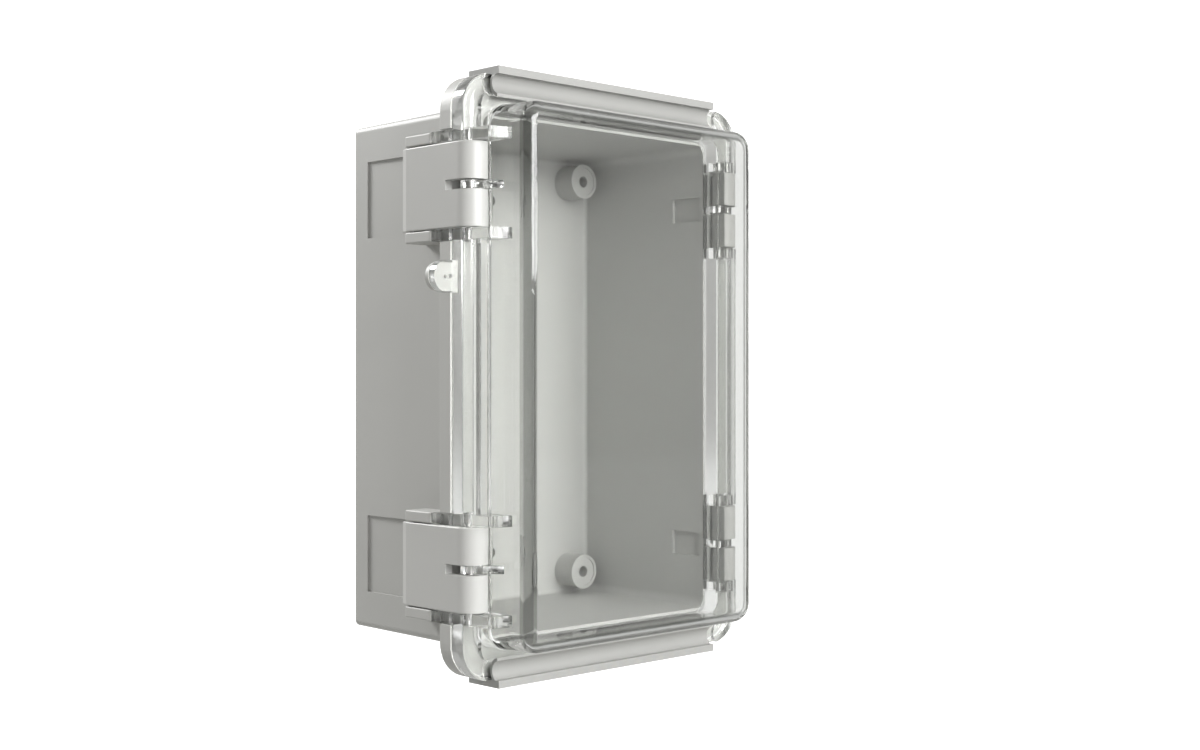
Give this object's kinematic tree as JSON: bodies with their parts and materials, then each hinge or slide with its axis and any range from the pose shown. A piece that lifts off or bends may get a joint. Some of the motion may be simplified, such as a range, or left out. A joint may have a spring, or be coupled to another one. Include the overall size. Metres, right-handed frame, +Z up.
{
  "type": "hinged wall enclosure",
  "caption": "Grey plastic wall box with a deep clear hinged cover, clip latches on its left edge, hinge clips on its right and bosses inside for a mounting plate.",
  "frame": {"origin": "centre of the back face, on the wall", "axes": "+X right, +Y back into the wall, +Z up; the clear cover faces -Y"},
  "size_m": [0.1962, 0.1248, 0.28],
  "materials": {
    "base_plastic": "fine satin moulded polycarbonate",
    "clear_plastic": "clear polished polycarbonate",
    "clip_plastic": "satin moulded plastic",
    "strip_plastic": "satin extruded plastic",
    "seal_foam": "soft foamed seal",
    "pin_steel": "drawn stainless steel"
  },
  "bodies": {
    "base": {"base": "base_plastic", "gasket": "seal_foam", "hinge_axle_upper": "pin_steel", "hinge_axle_lower": "pin_steel"},
    "lid": {"lid": "clear_plastic", "top_strip": "strip_plastic", "bottom_strip": "strip_plastic", "hinge_upper": "clip_plastic", "hinge_lower": "clip_plastic", "hinge_pin_upper": "pin_steel", "hinge_pin_lower": "pin_steel", "latch_pin_upper": "pin_steel", "latch_pin_lower": "pin_steel"},
    "latch_upper": {"latch_upper": "clip_plastic"},
    "latch_lower": {"latch_lower": "clip_plastic"}
  },
  "joints": [
    {"name": "lid_hinge", "type": "hinge", "parent": "base", "child": "lid", "pos_m": [0.088, -0.0612, 0], "axis": [0, 0, 1], "range_deg": [0, 160]},
    {"name": "latch_upper_pivot", "type": "hinge", "parent": "lid", "child": "latch_upper", "pos_m": [-0.0846, -0.0962, 0.08575], "axis": [0, 0, 1], "range_deg": [0, 60]},
    {"name": "latch_lower_pivot", "type": "hinge", "parent": "lid", "child": "latch_lower", "pos_m": [-0.0846, -0.0962, -0.08575], "axis": [0, 0, 1], "range_deg": [0, 60]}
  ]
}
